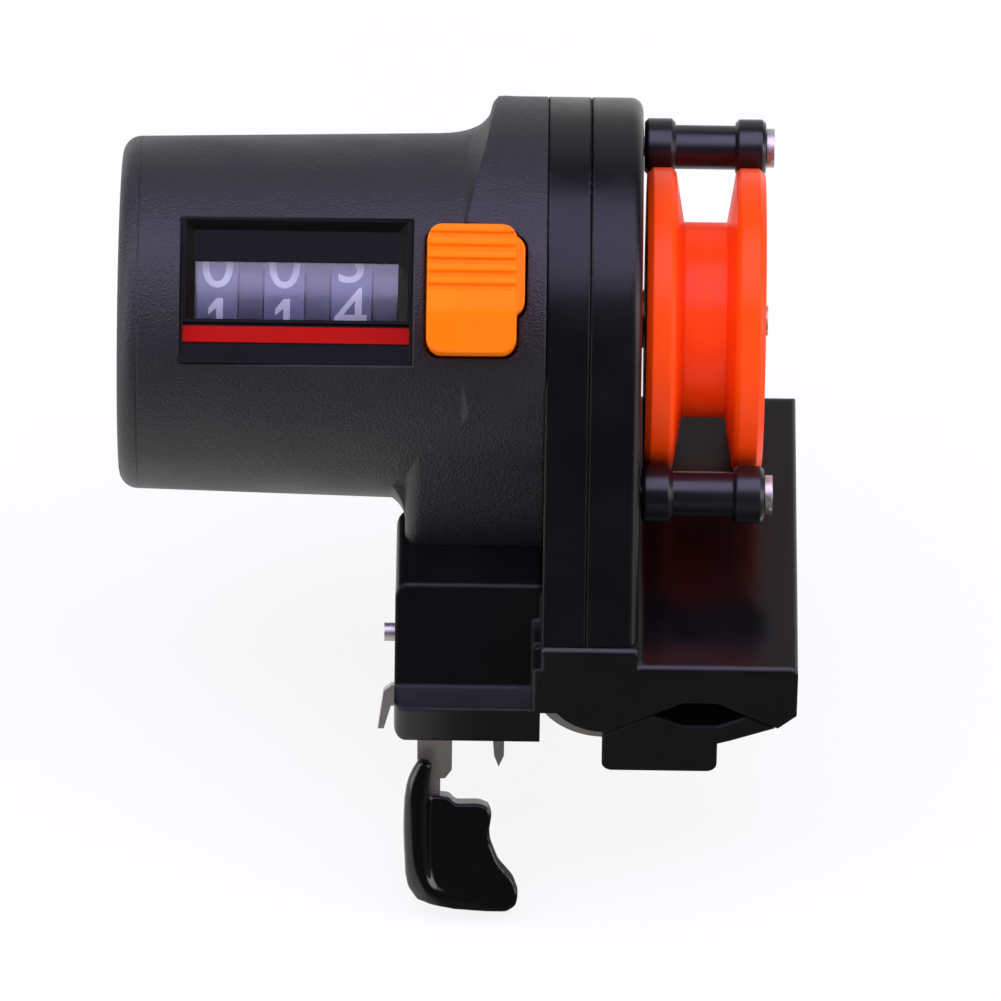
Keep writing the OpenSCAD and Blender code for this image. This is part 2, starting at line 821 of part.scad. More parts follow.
module wheel_screw() {
    right = wheel_x + wheel_w / 2;
    color(steel) at_axis() difference() {
        bar_x(right - 1.4, right + 0.6, wheel_shaft_d / 2 - snug);
        translate([right, -wheel_shaft_d / 2, -0.3]) cube([1, wheel_shaft_d, 0.6]);
    }
}

module drive_pinion() {
    color(brass) at_axis() difference() {
        along_x(level_1 - gear_w, level_1) gear_outline(pinion_teeth, gear_module);
        bar_x(level_1 - gear_w - 1, level_1 + 1, arbor_d / 2 + snug);
    }
}

// Line rollers

module line_roller(at) {
    color(black) at_axis() translate([roller_x, at.x, at.y]) spun_x() polygon([
        [roller_screw_d / 2 + running, 0], [roller_d / 2 - 0.5, 0], [roller_d / 2, 0.5],
        [roller_d / 2, collar_len - 0.5], [roller_d / 2 - 0.5, collar_len],
        [waist_d / 2, collar_len], [waist_d / 2, roller_len - collar_len],
        [roller_d / 2 - 0.5, roller_len - collar_len], [roller_d / 2, roller_len - collar_len + 0.5],
        [roller_d / 2, roller_len - 0.5], [roller_d / 2 - 0.5, roller_len],
        [roller_screw_d / 2 + running, roller_len]
    ]);
}

module upper_line_roller() {
    line_roller(roller_at[0]);
}

module lower_line_roller() {
    line_roller(roller_at[1]);
}

module roller_screws() {
    head = roller_x + roller_len + 0.1;
    color(steel) at_axis() for (at = roller_at) {
        bar_x(cover_face - frame_wall - 1.9, head, roller_screw_d / 2, at);
        difference() {
            bar_x(head, head + 1, roller_d / 2 - 1.2, at);
            translate([head + 0.6, at.x - roller_d / 2, at.y - 0.3]) cube([1, roller_d, 0.6]);
        }
    }
}

// Reset button

module reset_button() {
    ribs = 5;
    rib_pitch = 1.7;
    color(orange) at_axis() at_reading(button_x) difference() {
        union() {
            slab(
                button_w + 2 * button_lip, button_h + button_lip,
                button_lip_z - button_lip_t, button_lip_z
            );
            button_body(0, button_lip_z - button_lip_t, button_top, button_top - 2.4);
        }
        for (i = [0:ribs - 1]) {
            translate([0, button_h / 2 - 1.4 - i * rib_pitch, 0]) {
                slab(button_w + 1, 0.7, button_top - 0.5, button_top + 1);
            }
        }
    }
}

module button_spring() {
    from = shelf_z + shelf_t + 0.05;
    to = button_lip_z - button_lip_t - 0.05;
    color(steel) at_axis() at_reading(button_x) translate([0, 0, from]) {
        coil((button_spring_d - button_wire) / 2, button_wire, button_curls, to - from);
    }
}

// Clamp base

module base_outline() {
    polygon([
        [groove_end, base_top], [base_right - base_edge, base_top], [base_right, base_top - base_edge],
        [base_right, groove_height(base_right - base_bevel) + base_bevel],
        [base_right - base_bevel, groove_height(base_right - base_bevel)],
        [groove_flat, groove_top], [-groove_flat, groove_top],
        [groove_end, groove_height(groove_end)]
    ]);
    translate([base_right - base_edge, base_top - base_edge]) circle(base_edge);
    intersection() {
        translate(corner_at) circle(corner_r);
        translate([base_corner_x - 1, -base_top]) square([corner_r + 1, 2 * base_top]);
    }
    translate([base_corner_x, corner_at.y]) square([corner_r, base_top - corner_at.y]);
}

// Upper outline along the base with round ends
module long_outline(top) {
    translate([block_front, -2 * base_top]) square([base_len, 2 * base_top + top - base_edge]);
    translate([block_front + base_edge, 0]) square([base_len - 2 * base_edge, top]);
    for (side = [-1, 1]) translate([side * (base_len / 2 - base_edge), top - base_edge]) circle(base_edge);
}

// Base, its raised seat under the frame and the apron in front of the steel strip
module base_body() {
    intersection() {
        along_y(-base_len / 2, base_len / 2) base_outline();
        along_x(base_corner_x - 1, base_right + 1) long_outline(base_top);
    }
    intersection() {
        along_x(plate_back + snug, cover_face) long_outline(seat_top - snug);
        translate([plate_back, -base_len, base_top - 1]) {
            cube([cover_face - plate_back, 2 * base_len, seat_top]);
        }
    }
    along_y(block_front + base_edge, base_len / 2 - base_edge)
    translate([cover_face, base_top]) difference() {
        square(seat_fillet);
        translate([seat_fillet, seat_fillet]) circle(seat_fillet);
    }
    along_y(block_front, arm_front - free) polygon([
        [block_right - 1, base_top - 0.5], [block_right - 1, strip_step + free],
        [groove_end - 2.8, strip_step + free], [groove_end, groove_height(groove_end)],
        [groove_end, base_top - 0.5]
    ]);
}

module block_outline(wall) {
    polygon([
        [block_back - wall, block_bottom - (wall > 0 ? 1 : 0)],
        [block_back - wall, block_top - 2 * wall],
        [top_front + 1.15 * wall - 2 * wall * front_lean, block_top - 2 * wall],
        [block_front + lip_depth + 1.15 * wall, lip_top],
        [block_front + (wall > 0 ? lip_depth + 1.15 * wall : 0), lip_top],
        [block_front + (wall > 0 ? lip_depth + 1.15 * wall : 0), block_bottom - (wall > 0 ? 1 : 0)]
    ]);
}

// Outline with round corners on its left side
module left_rounded(left, right, low, high) {
    translate([left + block_edge, low]) square([right - left - block_edge, high - low]);
    translate([left, low + block_edge]) square([right - left, high - low - 2 * block_edge]);
    for (y = [low + block_edge, high - block_edge]) translate([left + block_edge, y]) circle(block_edge);
}

module clamp_base() {
    color(gloss_black) difference() {
        union() {
            base_body();
            intersection() {
                along_x(block_left, block_right) block_outline(0);
                along_y(block_front - 1, block_back + 1) {
                    left_rounded(block_left, block_right, block_bottom, block_top);
                }
                translate([0, 0, block_bottom - 1]) linear_extrude(2 * base_len) {
                    left_rounded(block_left, block_right, block_front, block_back);
                }
            }
            translate([block_right - 1, block_front + lip_depth, corner_at.y + strip_t + free]) {
                cube([
                    base_corner_x - block_right + 2, bridge_len,
                    base_top - corner_at.y - strip_t - free
                ]);
            }
        }
        along_x(block_left + block_wall, block_right - block_wall) block_outline(block_wall);
        along_x(block_right - block_wall - 1, base_corner_x) {
            translate([strip_front - free, block_bottom - 1]) {
                square([strip_w + 2 * free, strip_step + free - block_bottom + 1]);
            }
            translate([arm_front - free, block_bottom - 1]) {
                square([
                    strip_front + strip_w + 2 * free - arm_front,
                    pivot_at.y + strip_t / 2 + free - block_bottom + 1
                ]);
            }
        }
        along_x(block_left - 1, block_left + block_wall + 1) {
            translate([lever_y - 5, block_bottom - 1]) square([10, notch_top - block_bottom + 1]);
        }
        along_y(pin_front - snug, block_back + 1) translate(pivot_at) circle(pivot_d / 2 + snug);
        bar_x(block_left - 1, block_left + block_wall + 1.6, anchor_r + snug, anchor_at);
        for (y = base_screw_y) {
            translate([base_screw_x, y, -base_top]) {
                cylinder(h = 3 * base_top, r = screw_d / 2 + snug);
                cylinder(h = base_top + base_screw_z, r = screw_head_d / 2 + snug);
            }
        }
    }
}

// Jaw, strip and lever

module strip_outline() {
    outer = strip_bend + strip_t / 2;
    inner = strip_bend - strip_t / 2;
    difference() {
        translate(corner_at) circle(outer);
        translate(corner_at) circle(inner);
        translate(corner_at) translate([-2 * outer, 0]) square(4 * outer);
        translate(corner_at) translate([0, -2 * outer]) square(4 * outer);
    }
    translate([corner_at.x - 0.01, leg_z - strip_t / 2]) square([leg_end - corner_at.x, strip_t]);
    translate([pivot_at.x, pivot_at.y - strip_t / 2]) {
        square([corner_at.x - inner - pivot_at.x, strip_t]);
    }
}

module clamp_arm() {
    back = strip_front + strip_w;
    color(steel) difference() {
        union() {
            along_y(strip_front, back) strip_outline();
            along_y(arm_front, back) translate(pivot_at) circle(hub_r);
        }
        along_y(strip_front - 1, arm_front) {
            translate([pivot_at.x - hub_r, strip_step]) square([corner_at.x - pivot_at.x, base_top]);
        }
        along_y(strip_front, back + 1) translate(pivot_at) circle(pivot_d / 2 + running);
    }
}

module lower_jaw() {
    rim = groove_height(6.3) - jaw_gap;
    color(gloss_black) difference() {
        union() {
            along_y(jaw_front, jaw_front + jaw_len) polygon([
                [-6.3, rim], [-groove_flat, jaw_hollow], [groove_flat, jaw_hollow], [6.3, rim],
                [jaw_right, groove_height(jaw_right) - jaw_gap],
                [tab_right + 1.6, leg_z - 0.4], [-3.3, leg_z - 3], [jaw_left + 1.4, leg_z - 1.2],
                [jaw_left, leg_z - 0.4], [jaw_left, groove_height(jaw_left) - jaw_gap]
            ]);
            along_y(jaw_front, jaw_front + tab_len) {
                translate([jaw_left, tab_bottom + 1.4]) {
                    square([tab_right - jaw_left, leg_z - tab_bottom - 1.4]);
                }
                translate([jaw_left + 1.4, tab_bottom]) square([tab_right - jaw_left - 2.8, 2]);
                for (x = [jaw_left + 1.4, tab_right - 1.4]) translate([x, tab_bottom + 1.4]) circle(1.4);
            }
        }
        along_y(strip_front - snug, strip_front + strip_w + snug) {
            translate([jaw_left - 1, leg_z - strip_t / 2 - snug]) {
                square([leg_end - jaw_left + 2, strip_t + 2 * snug]);
            }
        }
    }
}

// Puts what follows on the lever's sloping face, with lengths running down it
module on_lever() {
    translate([0, lever_y, lever_knee]) rotate([lever_slope - 90, 0, 0]) children();
}

module neck_outline() {
    polygon([
        [lever_x - neck_w / 2, 0], [lever_x + neck_w / 2, 0],
        [lever_x + neck_w / 2, -16.4], [lever_x + 5.6, -17.6],
        [lever_x + 6.2, -22], [lever_x + 8.6, -28],
        [lever_x - 1.2, -28.6], [lever_x - 1.4, -16]
    ]);
    polygon([
        [lever_x - 5, -0.6], [lever_x + 9.9, -0.6], [lever_x + 9.9, -10], [lever_x + 9.2, -11.5],
        [lever_x + 8.6, -10], [lever_x + 8, -3.4], [lever_x + 3.1, -3.4], [lever_x + 3.1, -12],
        [lever_x + 2.2, -13.2], [lever_x, -13.2], [lever_x, -3.4], [lever_x - 5, -3.4],
        [lever_x - 5.9, -6.5], [lever_x - 6.7, -6.5], [lever_x - 6, -1.4]
    ]);
}

module lever_core() {
    along_y(lever_y - lever_t / 2, lever_y + lever_t / 2) {
        translate(pivot_at) circle(hub_r);
        polygon([
            pivot_at + [-hub_r, 0], pivot_at + [hub_r, 0],
            [lever_x + neck_w / 2, lever_knee], [lever_x - neck_w / 2, lever_knee]
        ]);
    }
    on_lever() along_y(-lever_t / 2, lever_t / 2) neck_outline();
    translate([lever_x - neck_w / 2, lever_y, lever_knee]) rotate([0, 90, 0]) {
        cylinder(h = neck_w, r = lever_t / 2);
    }
}

module lever_plate() {
    color(steel) difference() {
        lever_core();
        along_y(lever_y - 2, lever_y + 2) translate(pivot_at) circle(pivot_d / 2 + running);
    }
}

module grip_outline() {
    offset(1.2, $fn = 32) offset(-1.2, $fn = 32) polygon([
        [lever_x - 4.2, -15.8], [lever_x - 1.9, -15.8], [lever_x - 1.7, -17],
        [lever_x + 5.4, -16.4], [lever_x + 7, -18], [lever_x + 6.8, -21.4],
        [lever_x + 8, -24.3], [lever_x + 9.9, -26.8], [lever_x + 10.4, -28.8],
        [lever_x + 8.8, -31.2], [lever_x + 1, -30.8], [lever_x - 2.6, -29.4], [lever_x - 4.2, -27.4]
    ]);
}

module lever_grip() {
    color(gloss_black) difference() {
        on_lever() {
            along_y(-lever_t / 2 - grip_skin, lever_t / 2 + grip_skin) grip_outline();
            along_y(-lever_t / 2 - grip_skin - 1.2, lever_t / 2 + grip_skin) {
                intersection() {
                    grip_outline();
                    translate([lever_x - 5, -33]) square([3.2, 33]);
                }
                polygon([
                    [lever_x - 4.2, -18], [lever_x - 4.2, -11], [lever_x - 3.4, -9.2],
                    [lever_x - 2, -9.2], [lever_x - 1.8, -18]
                ]);
            }
        }
        lever_core();
    }
}

module pivot_pin() {
    color(steel) along_y(pin_front, block_back - 0.3) {
        translate(pivot_at) circle(pivot_d / 2);
    }
}

module clamp_spring() {
    from = strip_front + strip_w + free;
    to = block_back - block_wall - free;
    color(steel) translate([pivot_at.x, from, pivot_at.y]) rotate([-90, 0, 0]) {
        coil(clamp_coil_r, clamp_wire, clamp_curls, to - from);
    }
}

module anchor_pin() {
    color(steel) bar_x(block_left - 1.4, block_left + block_wall + 1.5, anchor_r, anchor_at);
}

// Fasteners

module housing_screws() {
    color(steel) at_axis() for (at = screw_at) {
        in_foot = at.x < -frame_r;
        bar_x(cover_face - (in_foot ? foot_screw_len : screw_len), cover_face - 1.55, screw_d / 2, at);
        bar_x(cover_face - 1.55, cover_face - 0.3, screw_head_d / 2, at);
    }
}

module base_screws() {
    color(steel) for (y = base_screw_y) {
        translate([base_screw_x, y, base_screw_z - 1.4]) {
            cylinder(h = seat_top + frame_wall - base_screw_z + 1.2, r = screw_d / 2);
            cylinder(h = 1.35, r = screw_head_d / 2);
        }
    }
}

barrel_housing();
end_cap();
gear_plate();
wheel_side_cover();
clamp_base();
window_bezel();
window_lens();
index_strip();
hundreds_drum();
tens_drum();
units_drum();
drum_shaft();
units_gear();
tens_pinion();
hundreds_pinion();
pinion_shaft();
first_gear();
second_gear();
first_arbor();
second_arbor();
line_wheel();
wheel_shaft();
shaft_bush();
wheel_screw();
drive_pinion();
upper_line_roller();
lower_line_roller();
roller_screws();
reset_button();
button_spring();
clamp_arm();
lower_jaw();
lever_plate();
lever_grip();
pivot_pin();
clamp_spring();
anchor_pin();
housing_screws();
base_screws();
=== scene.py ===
"""Fishing line counter: surfaces, numerals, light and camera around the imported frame."""
import math

import bpy
from mathutils import Matrix, Vector


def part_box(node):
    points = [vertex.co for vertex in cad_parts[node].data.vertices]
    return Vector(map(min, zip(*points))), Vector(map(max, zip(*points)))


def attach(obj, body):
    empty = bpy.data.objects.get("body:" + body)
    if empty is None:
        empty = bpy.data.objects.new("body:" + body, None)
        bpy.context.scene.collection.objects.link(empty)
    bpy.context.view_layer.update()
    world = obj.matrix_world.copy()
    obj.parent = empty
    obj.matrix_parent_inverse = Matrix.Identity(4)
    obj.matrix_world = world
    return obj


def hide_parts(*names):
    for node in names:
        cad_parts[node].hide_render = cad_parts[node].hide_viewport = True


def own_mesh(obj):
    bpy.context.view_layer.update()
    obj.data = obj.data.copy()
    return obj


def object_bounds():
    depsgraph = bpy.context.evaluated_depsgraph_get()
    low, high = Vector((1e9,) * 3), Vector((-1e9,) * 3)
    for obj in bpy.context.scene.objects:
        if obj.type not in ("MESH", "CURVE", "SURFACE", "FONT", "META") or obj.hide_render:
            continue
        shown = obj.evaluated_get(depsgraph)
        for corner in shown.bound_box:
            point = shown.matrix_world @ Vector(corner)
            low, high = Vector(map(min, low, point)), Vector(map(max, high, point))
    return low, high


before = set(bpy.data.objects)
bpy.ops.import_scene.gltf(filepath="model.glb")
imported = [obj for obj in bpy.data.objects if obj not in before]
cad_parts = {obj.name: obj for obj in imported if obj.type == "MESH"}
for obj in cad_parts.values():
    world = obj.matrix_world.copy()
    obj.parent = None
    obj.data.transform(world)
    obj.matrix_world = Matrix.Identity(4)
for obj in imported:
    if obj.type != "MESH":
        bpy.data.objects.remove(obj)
cad_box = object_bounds()

MM = 0.001

# Places shared with the solids: the wheel's axle, and the slope of the reading window and button
AXLE = Vector((0, 16.5, 31.0)) * MM
READING_ANGLE = math.radians(52)
FACING = Vector((0, -math.cos(READING_ANGLE), math.sin(READING_ANGLE)))
UPHILL = Vector((0, math.sin(READING_ANGLE), math.cos(READING_ANGLE)))


def linear(hex_colour):
    """An sRGB hex colour as linear RGBA."""
    shares = [int(hex_colour[i:i + 2], 16) / 255 for i in (1, 3, 5)]
    return [s / 12.92 if s <= 0.04045 else ((s + 0.055) / 1.055) ** 2.4 for s in shares] + [1.0]


def add(tree, kind, sockets=None, **settings):
    """Adds one node. A socket takes a number, a colour or another node's output."""
    node = tree.nodes.new(kind)
    for name, value in settings.items():
        setattr(node, name, value)
    for name, value in (sockets or {}).items():
        if isinstance(value, bpy.types.NodeSocket):
            tree.links.new(value, node.inputs[name])
        else:
            node.inputs[name].default_value = value
    return node


def per_mm(size_mm):
    """Texture scale for a feature of this size, on coordinates in metres."""
    return 1 / (size_mm * MM)


def new_material(name):
    """An empty node material and its tree."""
    material = bpy.data.materials.new(name)
    material.use_nodes = True
    material.node_tree.nodes.clear()
    return material, material.node_tree


def two_tones(ramp, hex_low, hex_high):
    """Sets a colour ramp's two ends."""
    ramp.color_ramp.elements[0].color = linear(hex_low)
    ramp.color_ramp.elements[1].color = linear(hex_high)


ABS_IOR = 1.53
PANE_IOR = 1.585
EDGE_SAMPLES = 4

# The real grain is about 0.1 mm. It is drawn coarser, so that it shows in the render
GRAIN_MM = 0.34
GRAIN_DEEP_MM = 0.14
GRAIN_EDGE_MM = 0.5
MOULD_FLOW_MM = 11


def moulded_abs():
    """Black ABS from a spark-eroded mould: a fine even grain that spreads the shine into a soft grey."""
    material, tree = new_material("black_abs_spark_grain")
    place = add(tree, "ShaderNodeTexCoord")
    grain = add(tree, "ShaderNodeTexNoise", {"Vector": place.outputs["Object"],
                "Scale": per_mm(GRAIN_MM), "Detail": 2.0, "Roughness": 0.6})
    flow = add(tree, "ShaderNodeTexNoise", {"Vector": place.outputs["Object"],
               "Scale": per_mm(MOULD_FLOW_MM), "Detail": 3.0})
    tint = add(tree, "ShaderNodeValToRGB", {"Fac": grain.outputs["Fac"]})
    two_tones(tint, "#0a0a0c", "#1c1b20")
    shine = add(tree, "ShaderNodeMapRange", {"Value": flow.outputs["Fac"],
                "From Min": 0.3, "From Max": 0.7, "To Min": 0.42, "To Max": 0.52})
    edge = add(tree, "ShaderNodeBevel", {"Radius": GRAIN_EDGE_MM * MM}, samples=EDGE_SAMPLES)
    bump = add(tree, "ShaderNodeBump", {"Height": grain.outputs["Fac"], "Strength": 1.0,
               "Distance": GRAIN_DEEP_MM * MM, "Normal": edge.outputs["Normal"]})
    skin = add(tree, "ShaderNodeBsdfPrincipled", {"Base Color": tint.outputs["Color"],
               "Roughness": shine.outputs["Result"], "IOR": ABS_IOR, "Normal": bump.outputs["Normal"]})
    add(tree, "ShaderNodeOutputMaterial", {"Surface": skin.outputs["BSDF"]})
    return material


HAZE_MM = 7
RIPPLE_MM = 0.5
RIPPLE_DEEP_MM = 0.05


def polished_abs(name, hex_low, hex_high, rough, edge_mm, mirror=0.5):
    """ABS from a polished mould: a clear shine with a faint flow haze and rounded edges."""
    material, tree = new_material(name)
    place = add(tree, "ShaderNodeTexCoord")
    haze = add(tree, "ShaderNodeTexNoise", {"Vector": place.outputs["Object"],
               "Scale": per_mm(HAZE_MM), "Detail": 4.0})
    ripple = add(tree, "ShaderNodeTexNoise", {"Vector": place.outputs["Object"],
                 "Scale": per_mm(RIPPLE_MM), "Detail": 2.0})
    tint = add(tree, "ShaderNodeValToRGB", {"Fac": haze.outputs["Fac"]})
    two_tones(tint, hex_low, hex_high)
    shine = add(tree, "ShaderNodeMapRange", {"Value": haze.outputs["Fac"],
                "From Min": 0.3, "From Max": 0.7, "To Min": rough * 0.8, "To Max": rough * 1.2})
    edge = add(tree, "ShaderNodeBevel", {"Radius": edge_mm * MM}, samples=EDGE_SAMPLES)
    bump = add(tree, "ShaderNodeBump", {"Height": ripple.outputs["Fac"], "Strength": 0.06,
               "Distance": RIPPLE_DEEP_MM * MM, "Normal": edge.outputs["Normal"]})
    skin = add(tree, "ShaderNodeBsdfPrincipled", {"Base Color": tint.outputs["Color"],
               "Roughness": shine.outputs["Result"], "IOR": ABS_IOR, "Specular IOR Level": mirror,
               "Normal": bump.outputs["Normal"]})
    add(tree, "ShaderNodeOutputMaterial", {"Surface": skin.outputs["BSDF"]})
    return material


ROLLED_LINE_MM = 0.25
ROLLED_DEEP_MM = 0.02
ROLLED_EDGE_MM = 0.15
ROLLED_STRETCH = (1.0, 0.08, 1.0)


def plated_steel(name, hex_low, hex_high, rough):
    """Metal strip and wire, rolled then plated: long fine lines and a dull bright shine."""
    material, tree = new_material(name)
    place = add(tree, "ShaderNodeTexCoord")
    drawn = add(tree, "ShaderNodeMapping", {"Vector": place.outputs["Object"],
                "Scale": ROLLED_STRETCH})
    lines = add(tree, "ShaderNodeTexNoise", {"Vector": drawn.outputs["Vector"],
                "Scale": per_mm(ROLLED_LINE_MM), "Detail": 3.0})
    tint = add(tree, "ShaderNodeValToRGB", {"Fac": lines.outputs["Fac"]})
    two_tones(tint, hex_low, hex_high)
    shine = add(tree, "ShaderNodeMapRange", {"Value": lines.outputs["Fac"],
                "To Min": rough * 0.7, "To Max": rough * 1.3})
    edge = add(tree, "ShaderNodeBevel", {"Radius": ROLLED_EDGE_MM * MM}, samples=EDGE_SAMPLES)
    bump = add(tree, "ShaderNodeBump", {"Height": lines.outputs["Fac"], "Strength": 0.05,
               "Distance": ROLLED_DEEP_MM * MM, "Normal": edge.outputs["Normal"]})
    skin = add(tree, "ShaderNodeBsdfPrincipled", {"Base Color": tint.outputs["Color"],
               "Roughness": shine.outputs["Result"], "Metallic": 1.0,
               "Normal": bump.outputs["Normal"]})
    add(tree, "ShaderNodeOutputMaterial", {"Surface": skin.outputs["BSDF"]})
    return material


SMEAR_MM = 4


def clear_pane():
    """Clear polycarbonate pane: water-white, with a polished face that mirrors the softbox."""
    material, tree = new_material("clear_polycarbonate_pane")
    place = add(tree, "ShaderNodeTexCoord")
    smear = add(tree, "ShaderNodeTexNoise", {"Vector": place.outputs["Object"],
                "Scale": per_mm(SMEAR_MM), "Detail": 3.0})
    shine = add(tree, "ShaderNodeMapRange", {"Value": smear.outputs["Fac"],
                "To Min": 0.01, "To Max": 0.06})
    pane = add(tree, "ShaderNodeBsdfPrincipled", {"Base Color": linear("#f4f6fb"),
               "Roughness": shine.outputs["Result"], "IOR": PANE_IOR, "Transmission Weight": 1.0})
    add(tree, "ShaderNodeOutputMaterial", {"Surface": pane.outputs["BSDF"]})
    return material


# Moulded finishes: name, darker and lighter tone, roughness, edge radius in mm, mirror strength
MATERIALS = {
    "grain": moulded_abs(),
    "satin": polished_abs("black_abs_satin", "#070708", "#0c0c0d", 0.3, 0.4, 0.28),
    "bezel": polished_abs("black_abs_bezel", "#040405", "#080809", 0.3, 0.2, 0.12),
    "gloss": polished_abs("black_abs_polished", "#050506", "#0a0a0b", 0.22, 0.7, 0.45),
    "acetal": polished_abs("black_acetal_turned", "#0b0b0e", "#131318", 0.3, 0.35),
    "wheel": polished_abs("orange_abs_satin", "#ff4202", "#ff5206", 0.36, 0.4, 0.18),
    "button": polished_abs("amber_abs_satin", "#ff7802", "#ff8605", 0.42, 0.35, 0.12),
    "drum": polished_abs("slate_abs_drum", "#6a6a8c", "#7676a0", 0.45, 0.15),
    "divider": polished_abs("slate_abs_divider", "#484862", "#525270", 0.45, 0.15),
    "nylon": polished_abs("natural_nylon", "#d8d2bf", "#e8e3d2", 0.45, 0.15),
    "line": polished_abs("red_enamel_line", "#9c0803", "#ae0c05", 0.6, 0.15, 0.08),
    "print": polished_abs("white_print", "#e9eaf2", "#f6f7fb", 0.5, 0.02),
    "vinyl": polished_abs("black_dipped_vinyl", "#050505", "#090909", 0.12, 0.4),
    "steel": plated_steel("rolled_steel_plated", "#b8b0ab", "#e4dfda", 0.46),
    "brass": plated_steel("turned_brass", "#b08a45", "#cfa75c", 0.3),
    "pane": clear_pane(),
}

FINISHES = {
    "grain": ["barrel_housing", "end_cap"],
    "satin": ["gear_plate", "wheel_side_cover"],
    "bezel": ["window_bezel"],
    "gloss": ["clamp_base", "lower_jaw"],
    "acetal": ["upper_line_roller", "lower_line_roller"],
    "wheel": ["line_wheel"],
    "button": ["reset_button"],
    "drum": ["hundreds_drum", "tens_drum", "units_drum"],
    "nylon": ["units_gear", "tens_pinion", "hundreds_pinion", "first_gear", "second_gear",
              "drive_pinion"],
    "line": ["index_strip"],
    "vinyl": ["lever_grip"],
    "steel": ["drum_shaft", "pinion_shaft", "first_arbor", "second_arbor", "wheel_shaft",
              "wheel_screw", "roller_screws", "button_spring", "clamp_arm", "lever_plate",
              "pivot_pin", "clamp_spring", "anchor_pin", "housing_screws", "base_screws"],
    "brass": ["shaft_bush"],
    "pane": ["window_lens"],
}


def coat(thing, finish):
    """Gives an object one of the finishes, in place of what it had."""
    thing.data.materials.clear()
    thing.data.materials.append(MATERIALS[finish])


for finish, names in FINISHES.items():
    for name in names:
        coat(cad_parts[name], finish)


def take_up(*things):
    """Selects these alone, the first one active, so that an operator acts on nothing else."""
    for thing in bpy.context.selected_objects:
        thing.select_set(False)
    for thing in things:
        thing.select_set(True)
    if things:
        bpy.context.view_layer.objects.active = things[0]


def new_object(name, data):
    """A new object at the origin, taken up."""
    thing = bpy.data.objects.new(name, data)
    bpy.context.collection.objects.link(thing)
    take_up(thing)
    return thing


def face_outwards():
    """Turns every face of the active piece outwards."""
    bpy.ops.object.mode_set(mode="EDIT")
    bpy.ops.mesh.select_all(action="SELECT")
    bpy.ops.mesh.normals_make_consistent(inside=False)
    bpy.ops.object.mode_set(mode="OBJECT")


SAME_POINT = 0.001 * MM


def dressed(node, name, body, finish):
    """A merged copy of a node's mesh that stands for the node, ready to be shaped."""
    piece = new_object(name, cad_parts[node].data.copy())
    bpy.ops.object.mode_set(mode="EDIT")
    bpy.ops.mesh.select_all(action="SELECT")
    bpy.ops.mesh.remove_doubles(threshold=SAME_POINT)
    bpy.ops.object.mode_set(mode="OBJECT")
    coat(piece, finish)
    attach(piece, body)
    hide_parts(node)
    return piece


def soften(piece, grid_mm, passes):
    """Rounds every edge of the active piece: an even fine grid, then relaxed."""
    grid = piece.modifiers.new("grid", "REMESH")
    grid.mode = "VOXEL"
    grid.voxel_size = grid_mm * MM
    bpy.ops.object.modifier_apply(modifier="grid")
    relaxed = piece.modifiers.new("relaxed", "SMOOTH")
    relaxed.factor = 0.5
    relaxed.iterations = passes
    bpy.ops.object.modifier_apply(modifier="relaxed")
    bpy.ops.object.shade_smooth()


CREASE = math.radians(40)


def lofted(name, rings):
    """A closed piece through rings of points, each ring a closed outline."""
    count = len(rings[0])
    corners = [point for ring in rings for point in ring]
    faces = [tuple(range(count - 1, -1, -1)),
             tuple(range(len(corners) - count, len(corners)))]
    for low in range(0, len(corners) - count, count):
        high = low + count
        for j in range(count):
            k = (j + 1) % count
            faces.append((low + j, low + k, high + k, high + j))
    mesh = bpy.data.meshes.new(name)
    mesh.from_pydata(corners, [], faces)
    piece = new_object(name, mesh)
    face_outwards()
    bpy.ops.object.shade_smooth_by_angle(angle=CREASE)
    return piece


DRUM_AXIS = Vector((0, 12.058, 36.686)) * MM
DRUM_R = 11.2 * MM
BAND_W = 5.2 * MM
DRIVER_W = 1.2 * MM
DIGIT_H = 5.75 * MM
CAP_SHARE = 0.627
PRINT_T = 0.06 * MM
DIGITS = 10
BANDS = 10
# The numeral that stands at the middle of the window on each drum
READING = {"hundreds": 0.5, "tens": 0.5, "units": 3.62}
# The one has a flag at its upper left; shares of the numeral's height
ONE_OUTLINE = ((-0.02, -0.5), (0.13, -0.5), (0.13, 0.5), (-0.01, 0.5),
               (-0.2, 0.27), (-0.2, 0.12), (-0.02, 0.28))


def numeral(digit):
    """One flat numeral, cut into bands so that it can lie round a drum."""
    if digit == 1:
        mesh = bpy.data.meshes.new("one")
        mesh.from_pydata([(x * DIGIT_H, y * DIGIT_H, 0) for x, y in ONE_OUTLINE], [],
                         [range(len(ONE_OUTLINE))])
        shape = new_object("one", mesh)
    else:
        take_up()
        bpy.ops.object.text_add()
        shape = bpy.context.object
        shape.data.body = str(digit)
        shape.data.size = DIGIT_H / CAP_SHARE
        shape.data.align_x = "CENTER"
        shape.data.align_y = "CENTER"
        shape.data.resolution_u = 4
        bpy.ops.object.convert(target="MESH")
        shape = bpy.context.object
    bpy.ops.object.mode_set(mode="EDIT")
    for band in range(1, BANDS):
        bpy.ops.mesh.select_all(action="SELECT")
        height = DIGIT_H * (band / BANDS - 0.5)
        bpy.ops.mesh.bisect(plane_co=(0, height, 0), plane_no=(0, 1, 0))
    bpy.ops.object.mode_set(mode="OBJECT")
    return shape


def round_drum(x, r, angle):
    """Point in metres along and out from the drums' axis."""
    return (x, DRUM_AXIS.y - r * math.cos(angle), DRUM_AXIS.z + r * math.sin(angle))


